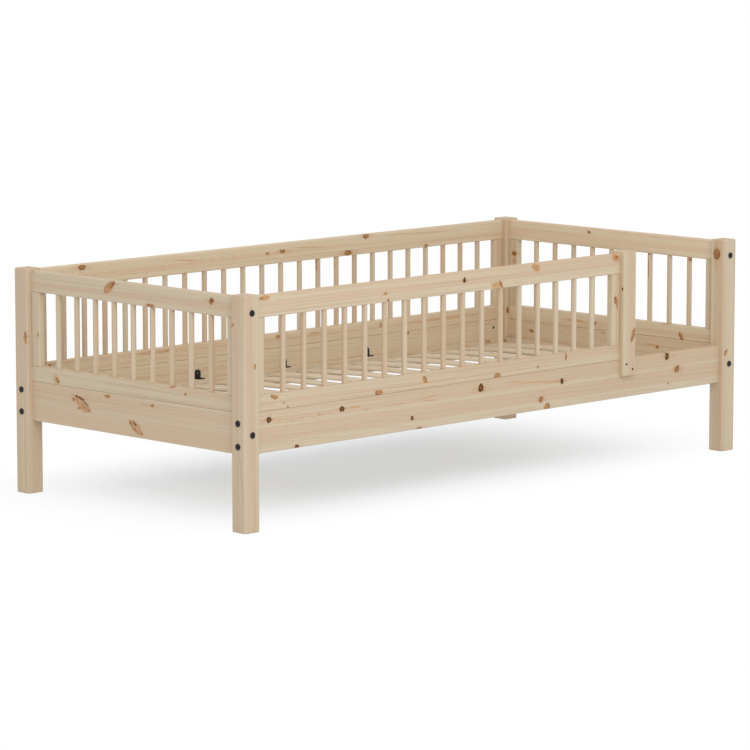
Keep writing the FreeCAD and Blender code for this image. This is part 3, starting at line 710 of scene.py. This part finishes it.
    def material(self, woods=None):
        """Lays the knots into the wood and gives the material.

        woods are the two main colours, if they aren't the pine's own.
        """
        amber = opaque(self.wood.amber)
        brown = opaque(self.wood.knot_brown)
        bark = opaque(self.wood.knot_bark)
        colour = self.stained(self.clear_wood(woods or (self.wood.sapwood, self.wood.heartwood)))
        height = self.late * 0.35 + self.grain("fibre") * 0.5
        roughness = 0.56 + self.grain("fibre") * 0.16 - self.late * 0.06
        for kind, look in KNOT_LOOKS.items():
            if kind in self.fields:
                field = self.fields[kind]
                sound = field.step(1.12, 0.80) * look.cover * (1 - field.step(0.9, 0.3) * look.hollow)
                rings = (field * 2.0 + self.grain("heart") * 0.9).fraction().step(0.35, 0.85)
                side = self.field(self.uneven, self.by_kind[kind], aside=0.45).step(0.75, 1.2)
                shade = ((side * 0.9 + rings * 0.55) * look.depth + look.base).least(1.0)
                cover = sound * (self.grain("blotch").step(0.35, 0.65) * 0.2 + 0.8)
                colour = self.blend(cover, colour, self.blend(shade, amber, brown))
                roughness = roughness - sound * 0.12
        if "ring" in self.fields:
            field = self.fields["ring"]
            inside = field.step(1.12, 0.88)
            rim = inside * field.step(0.25, 0.62) * (0.7 + self.grain("rim").step(0.4, 0.6) * 0.3)
            colour = self.blend(inside * 0.95, colour, brown)
            colour = self.blend(rim * 0.95, colour, bark)
            height = height - rim * 0.6
        if "pin" in self.fields:
            pin = self.fields["pin"].step(1.2, 0.7)
            colour = self.blend(pin * 0.96, colour, bark)
            height = height - pin * 0.5
        return self.surface(colour, roughness, height, self.wood.fibre_relief, specular=WOOD_SPECULAR)


def board_knots(name, through, along, count):
    """A board's listed knots, or small ones at seeded places where none is listed, all run one way."""
    if name in BOARD_KNOTS:
        return [(through, knot) for knot in BOARD_KNOTS[name]]
    chance = random.Random(name + " knots")
    across = 3 - along - through
    low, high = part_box(name)
    found = []
    for _ in range(count):
        found.append((through, Knot(chance.uniform(low[along], high[along]),
                                    chance.uniform(low[across], high[across]),
                                    chance.uniform(*SEEDED_SIZE), chance.uniform(*SEEDED_STRETCH))))
    return found


def rod_row(name, through, across):
    """First rod's place and the pitch of a row of rods."""
    low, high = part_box(name)
    radius = (high[through] - low[through]) / 2
    places = sorted({round(vertex.co[across], 4) for vertex in NODES[name].data.vertices})
    lefts = [places[0]]
    for place in places:
        if place - lefts[-1] > 3 * radius:
            lefts.append(place)
    pitch = (lefts[-1] - lefts[0]) / (len(lefts) - 1)
    return lefts[0] + radius, pitch


def coated_metal(name, metal, base, metallic, roughness, specular=0.5):
    """Coated or plated steel with fine unevenness and rubbed patches."""
    finish = Finish(bpy.data.materials.new(name))
    place = finish.solid_place()
    grainy = finish.noise(place, COAT_GRAIN, detail=3.0, roughness=0.6)
    patch = finish.noise(place, COAT_PATCH)
    rubbed = [min(1.0, part * 1.7 + 0.012) for part in base]
    colour = finish.blend(patch.step(0.45, 0.75) * 0.5, opaque(base), opaque(rubbed))
    varied = roughness + (grainy - 0.5) * 0.16 + (patch - 0.5) * 0.1
    return finish.surface(colour, varied, grainy, metal.coat_relief, metallic, specular)


def plain_beech(wood):
    """Beech with fine darker flecks."""
    finish = Finish(bpy.data.materials.new("beech_dowel"))
    fleck = finish.noise(finish.solid_place(), BEECH_GRAIN, detail=3.0, roughness=0.6)
    colour = finish.blend(fleck.step(0.5, 0.75) * 0.6, opaque(wood.beech), opaque(wood.beech_fleck))
    return finish.surface(colour, 0.6 + (fleck - 0.5) * 0.2, fleck, BEECH_RELIEF)


def put(name, material):
    """Gives a node of the frame one material."""
    if name not in NODES:
        raise RuntimeError("the bed has no piece named " + name)
    mesh = NODES[name].data
    mesh.materials.clear()
    mesh.materials.append(material)


def named(*starts):
    """Nodes of the frame whose names start with one of these words."""
    found = sorted(name for name in NODES if name.startswith(starts))
    if not found:
        raise RuntimeError("the bed has no piece named " + " or ".join(starts))
    return found


class BED_OT_rails(bpy.types.Operator):
    """Finish the side rails, end boards and guard rails in pine that runs along them"""

    bl_idname = "bed.rails"
    bl_label = "Rails and Boards"

    def execute(self, context):
        for name in named("side_rail", "end_board", "end_guard", "back_guard", "front_guard"):
            if "stile" not in name and "spindles" not in name:
                along, through = (Y, X) if name.startswith("end_") else (X, Y)
                knots = board_knots(name, through, along, count=3)
                put(name, Pine(name, context.scene.bed_wood, along, through, knots).material())
        return {"FINISHED"}


class BED_OT_posts(bpy.types.Operator):
    """Finish the corner posts and the support post in upright pine"""

    bl_idname = "bed.posts"
    bl_label = "Posts"

    def execute(self, context):
        for name in named("post_front", "post_back") + ["support_post"]:
            put(name, Pine(name, context.scene.bed_wood, Z, Y, POST_KNOTS[name]).material())
        return {"FINISHED"}


class BED_OT_stiles(bpy.types.Operator):
    """Finish the short upright stiles of the guards"""

    bl_idname = "bed.stiles"
    bl_label = "Guard Stiles"

    def execute(self, context):
        for name in named("end_guard", "back_guard", "front_guard"):
            if "stile" in name:
                through = X if name.startswith("end_") else Y
                knots = board_knots(name, through, Z, count=1)
                put(name, Pine(name, context.scene.bed_wood, Z, through, knots).material())
        return {"FINISHED"}


class BED_OT_spindles(bpy.types.Operator):
    """Finish the rows of round spindles, each cut from a piece of wood of its own"""

    bl_idname = "bed.spindles"
    bl_label = "Spindles"

    def execute(self, context):
        for name in named("end_guard", "back_guard", "front_guard"):
            if name.endswith("spindles"):
                through, across = (X, Y) if name.startswith("end_") else (Y, X)
                knots = board_knots(name, through, Z, count=3)
                row = rod_row(name, through, across)
                put(name, Pine(name, context.scene.bed_wood, Z, through, knots, row).material())
        return {"FINISHED"}


class BED_OT_slats(bpy.types.Operator):
    """Finish the crowned slats in pale wood, and the bars round them in pine"""

    bl_idname = "bed.slats"
    bl_label = "Slats and Slat Bars"

    def execute(self, context):
        wood = context.scene.bed_wood
        for name in named("slat_0", "slat_1"):
            knots = board_knots(name, Z, Y, count=2)
            put(name, Pine(name, wood, Y, Z, knots).material((wood.slat_wood, wood.slat_shade)))
        for name in named("slat_bar_front", "slat_bar_back", "slat_end_bar"):
            along, through = (Y, X) if "end" in name else (X, Y)
            knots = board_knots(name, through, along, count=4)
            put(name, Pine(name, wood, along, through, knots).material())
        return {"FINISHED"}


class BED_OT_dowels(bpy.types.Operator):
    """Finish the hidden dowels in plain beech"""

    bl_idname = "bed.dowels"
    bl_label = "Dowels"

    def execute(self, context):
        material = plain_beech(context.scene.bed_wood)
        for name in ("post_dowels", "guard_seat_dowels"):
            put(name, material)
        return {"FINISHED"}


class BED_OT_fittings(bpy.types.Operator):
    """Finish the black bolts, brackets and screws, nuts painted as the shade of their holes, and plated bar
    screws
    """

    bl_idname = "bed.fittings"
    bl_label = "Metal Fittings"

    def execute(self, context):
        metal = context.scene.bed_metal
        black = coated_metal("black_coat", metal, metal.black_coat, 0.0, 0.36, 0.25)
        for name in ("frame_bolts", "slat_brackets", "support_post_screws"):
            put(name, black)
        put("bracket_screws", coated_metal("screw_coat", metal, metal.screw_coat, 0.6, 0.36))
        # Painted shade: the nuts' near-black metal stands in for the shade of their holes.
        put("barrel_nuts", coated_metal("dark_plate", metal, metal.dark_plate, 1.0, 0.45))
        put("slat_bar_screws", coated_metal("zinc_plate", metal, metal.zinc, 1.0, 0.38))
        return {"FINISHED"}


class BED_OT_stage(bpy.types.Operator):
    """Set up the floor, the soft light and the camera"""

    bl_idname = "bed.stage"
    bl_label = "Studio Stage"

    def execute(self, context):
        scene = context.scene
        stage = scene.bed_stage
        scene.view_settings.view_transform = "Standard"
        self.lay_floor(scene, stage)
        self.light(scene, stage)
        self.aim_camera(scene, stage)
        return {"FINISHED"}

    def seen(self, finish):
        """1 for what is seen straight, in gloss or through glass, and 0 for light that falls on the bed."""
        rays = None
        for name in ("Is Camera Ray", "Is Glossy Ray", "Is Transmission Ray"):
            ray = finish.node("ShaderNodeLightPath", output=name)
            rays = ray if rays is None else rays.most(ray)
        return rays

    def lay_floor(self, scene, stage):
        """Lays a floor that is white all round and keeps the bed's shadow under it. Its grey shows only
        inside an ellipse under the bed and fades to white outside it, which paints the shadow's outer edge;
        inside, the real shadow shows, lightened by some white.
        """
        sides = ((-1, -1), (1, -1), (1, 1), (-1, 1))
        corners = [(x * FLOOR_REACH, y * FLOOR_REACH, 0.0) for x, y in sides]
        mesh = bpy.data.meshes.new("floor")
        mesh.from_pydata(corners, [], [(0, 1, 2, 3)])
        floor = bpy.data.objects.new("floor", mesh)
        scene.collection.objects.link(floor)
        finish = Finish(bpy.data.materials.new("studio_floor"))
        scale = (1 / stage.shadow_reach[0], 1 / stage.shadow_reach[1], 0.0)
        shift = (0.0, -stage.shadow_shift * scale[1], 0.0)
        spread = finish.vector("MULTIPLY_ADD", finish.solid_place(), scale, shift)
        away = finish.vector("LENGTH", finish.vector("MULTIPLY", spread, spread), output="Value")
        # Painted shadow edge: the floor fades from its lit grey to white outside the ellipse.
        fade = (away ** 0.5).step(0.25, 1.0)
        white = self.seen(finish) * (fade * (1 - stage.shadow_glow) + stage.shadow_glow)
        diffuse = finish.node("ShaderNodeBsdfDiffuse", None, {"Color": opaque(stage.floor_colour)})
        glow = finish.node("ShaderNodeEmission", None, {"Color": WHITE, "Strength": 1.0})
        shader = finish.node("ShaderNodeMixShader", None, {0: white, 1: diffuse, 2: glow})
        finish.node("ShaderNodeOutputMaterial", None, {"Surface": shader})
        mesh.materials.append(finish.owner)

    def light(self, scene, stage):
        """Lights the bed from all around and from two soft lamps, against a white backdrop."""
        finish = Finish(bpy.data.worlds.new("studio"))
        level = self.seen(finish) * (1 - stage.sky_level) + stage.sky_level
        sky = finish.node("ShaderNodeBackground", None, {"Color": WHITE, "Strength": level})
        finish.node("ShaderNodeOutputWorld", None, {"Surface": sky})
        scene.world = finish.owner
        self.lamp(scene, "key", stage.key_place, stage.key_size, stage.key_power)
        self.lamp(scene, "top", (0.0, 0.0, stage.top_height), stage.top_size, stage.top_power)

    def lamp(self, scene, name, place, size, power):
        """Hangs a round soft lamp that shines on the bed and isn't seen itself."""
        data = bpy.data.lights.new(name, "AREA")
        data.shape = "DISK"
        data.size = size
        data.energy = power
        lamp = bpy.data.objects.new(name, data)
        lamp.location = place
        lamp.rotation_euler = (-Vector(place)).to_track_quat("-Z", "Y").to_euler()
        lamp.visible_camera = False
        scene.collection.objects.link(lamp)

    def aim_camera(self, scene, stage):
        """Sets up the camera at the photograph's angle."""
        level = math.cos(stage.elevation)
        back = Vector((math.sin(stage.azimuth) * level, -math.cos(stage.azimuth) * level,
                       math.sin(stage.elevation)))
        lens = bpy.data.cameras.new("camera")
        lens.sensor_width = SENSOR_WIDTH
        lens.lens = stage.focal_length
        lens.clip_end = VIEW_END
        camera = bpy.data.objects.new("camera", lens)
        camera.location = Vector(stage.target) + back * stage.distance
        camera.rotation_euler = (-back).to_track_quat("-Z", "Y").to_euler()
        scene.collection.objects.link(camera)
        scene.camera = camera


OPERATORS = (BED_OT_rails, BED_OT_posts, BED_OT_stiles, BED_OT_spindles, BED_OT_slats, BED_OT_dowels,
             BED_OT_fittings, BED_OT_stage)


class BED_PT_panel(bpy.types.Panel):
    """Finishes of the bed, in the order in which they are made"""

    bl_idname = "BED_PT_panel"
    bl_label = "Child's Single Bed"
    bl_space_type = "VIEW_3D"
    bl_region_type = "UI"
    bl_category = "Bed"

    def draw(self, context):
        for group in (context.scene.bed_wood, context.scene.bed_metal, context.scene.bed_stage):
            box = self.layout.box()
            for name in group.__annotations__:
                box.prop(group, name)
        for operator in OPERATORS:
            self.layout.operator(operator.bl_idname)


CLASSES = (WoodSettings, MetalSettings, StageSettings, *OPERATORS, BED_PT_panel)


def register():
    """Adds the classes and the settings to Blender."""
    for cls in CLASSES:
        bpy.utils.register_class(cls)
    bpy.types.Scene.bed_wood = bpy.props.PointerProperty(type=WoodSettings)
    bpy.types.Scene.bed_metal = bpy.props.PointerProperty(type=MetalSettings)
    bpy.types.Scene.bed_stage = bpy.props.PointerProperty(type=StageSettings)


def unregister():
    """Takes the settings and the classes out again."""
    del bpy.types.Scene.bed_stage
    del bpy.types.Scene.bed_metal
    del bpy.types.Scene.bed_wood
    for cls in reversed(CLASSES):
        bpy.utils.unregister_class(cls)


def main():
    """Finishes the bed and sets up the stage."""
    register()
    bpy.ops.bed.rails()
    bpy.ops.bed.posts()
    bpy.ops.bed.stiles()
    bpy.ops.bed.spindles()
    bpy.ops.bed.slats()
    bpy.ops.bed.dowels()
    bpy.ops.bed.fittings()
    bpy.ops.bed.stage()


if __name__ == "__main__":
    main()
